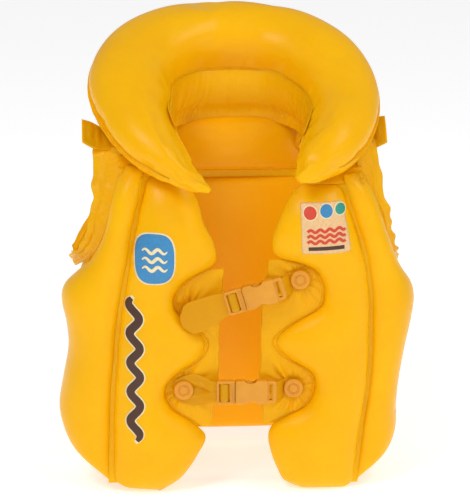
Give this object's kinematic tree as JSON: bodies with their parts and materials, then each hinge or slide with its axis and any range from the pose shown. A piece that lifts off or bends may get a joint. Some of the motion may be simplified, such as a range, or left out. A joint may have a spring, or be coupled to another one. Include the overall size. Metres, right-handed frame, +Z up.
{
  "type": "inflatable swim vest",
  "caption": "Child's inflatable swim vest: pillow collar, film air chambers round the torso, ruffled armholes, front side-release buckles and push-in air valves.",
  "frame": {"origin": "centre of the bottom of the vest's box, as it stands upright", "axes": "+Z up along the wearer's spine, the front faces -Y, the wearer's right side is on -X"},
  "size_m": [0.3242, 0.2227, 0.4207],
  "materials": {
    "chamber_film": "satin welded vinyl film, inflated",
    "free_film": "satin vinyl film, single sheet, slightly translucent",
    "strap_webbing": "flat yellow strap",
    "buckle_plastic": "moulded yellow plastic, satin",
    "valve_vinyl": "soft moulded vinyl"
  },
  "bodies": {
    "vest": {"collar_chamber": "chamber_film", "collar_weld_flange": "free_film", "front_chamber_left": "chamber_film", "front_chamber_right": "chamber_film", "side_tube_left": "chamber_film", "side_tube_right": "chamber_film", "back_tube_left": "chamber_film", "back_tube_right": "chamber_film", "back_panel_chamber": "chamber_film", "back_yoke_chamber": "chamber_film", "neck_film": "free_film", "weld_seams": "free_film", "armhole_ruffle_left": "free_film", "armhole_ruffle_right": "free_film", "shoulder_film_left": "free_film", "shoulder_film_right": "free_film", "shoulder_tab_left": "free_film", "shoulder_tab_right": "free_film", "front_web_left": "free_film", "front_web_right": "free_film", "upper_strap_tab": "strap_webbing", "lower_strap_left": "strap_webbing", "upper_strap_right": "strap_webbing", "lower_strap_right": "strap_webbing", "strap_rivet_caps": "buckle_plastic", "strap_rivet_backs": "buckle_plastic", "upper_buckle_socket": "buckle_plastic", "lower_buckle_socket": "buckle_plastic", "collar_valve_base": "valve_vinyl", "left_valve_base": "valve_vinyl", "right_valve_base": "valve_vinyl"},
    "upper_plug": {"upper_buckle_plug": "buckle_plastic"},
    "upper_arm_top": {"upper_latch_arm_top": "buckle_plastic"},
    "upper_arm_bottom": {"upper_latch_arm_bottom": "buckle_plastic"},
    "lower_plug": {"lower_buckle_plug": "buckle_plastic"},
    "lower_arm_top": {"lower_latch_arm_top": "buckle_plastic"},
    "lower_arm_bottom": {"lower_latch_arm_bottom": "buckle_plastic"},
    "collar_stem": {"collar_valve_stem": "valve_vinyl"},
    "collar_stopper": {"collar_valve_plug": "valve_vinyl"},
    "left_stem": {"left_valve_stem": "valve_vinyl"},
    "left_stopper": {"left_valve_plug": "valve_vinyl"},
    "right_stem": {"right_valve_stem": "valve_vinyl"},
    "right_stopper": {"right_valve_plug": "valve_vinyl"}
  },
  "joints": [
    {"name": "upper_buckle_release", "type": "slide", "parent": "vest", "child": "upper_plug", "axis": [-0.9613, 0, -0.2756], "range_m": [0, 0.03], "deforming": ["upper_strap_tab", "upper_latch_arm_top", "upper_latch_arm_bottom"]},
    {"name": "lower_buckle_release", "type": "slide", "parent": "vest", "child": "lower_plug", "axis": [-1, 0, 0], "range_m": [0, 0.03], "deforming": ["lower_strap_left", "lower_latch_arm_top", "lower_latch_arm_bottom"]},
    {"name": "upper_latch_top", "type": "hinge", "parent": "upper_plug", "child": "upper_arm_top", "pos_m": [0.00341, -0.096, 0.19062], "axis": [0, 1, 0], "range_deg": [0, 7], "stiffness_Nm_per_rad": 0.05},
    {"name": "upper_latch_bottom", "type": "hinge", "parent": "upper_plug", "child": "upper_arm_bottom", "pos_m": [0.00655, -0.096, 0.17966], "axis": [0, -1, 0], "range_deg": [0, 7], "stiffness_Nm_per_rad": 0.05},
    {"name": "lower_latch_top", "type": "hinge", "parent": "lower_plug", "child": "lower_arm_top", "pos_m": [-0.003, -0.096, 0.1037], "axis": [0, 1, 0], "range_deg": [0, 7], "stiffness_Nm_per_rad": 0.05},
    {"name": "lower_latch_bottom", "type": "hinge", "parent": "lower_plug", "child": "lower_arm_bottom", "pos_m": [-0.003, -0.096, 0.0923], "axis": [0, -1, 0], "range_deg": [0, 7], "stiffness_Nm_per_rad": 0.05},
    {"name": "collar_valve_pull", "type": "slide", "parent": "vest", "child": "collar_stem", "axis": [0, 0.9848, 0.1736], "range_m": [0, 0.008]},
    {"name": "collar_stopper_pull", "type": "slide", "parent": "collar_stem", "child": "collar_stopper", "axis": [0, 0.9848, 0.1736], "range_m": [0, 0.006]},
    {"name": "left_valve_pull", "type": "slide", "parent": "vest", "child": "left_stem", "axis": [0, 1, 0], "range_m": [0, 0.008]},
    {"name": "left_stopper_pull", "type": "slide", "parent": "left_stem", "child": "left_stopper", "axis": [0, 1, 0], "range_m": [0, 0.006]},
    {"name": "right_valve_pull", "type": "slide", "parent": "vest", "child": "right_stem", "axis": [0, 1, 0], "range_m": [0, 0.008]},
    {"name": "right_stopper_pull", "type": "slide", "parent": "right_stem", "child": "right_stopper", "axis": [0, 1, 0], "range_m": [0, 0.006]}
  ]
}
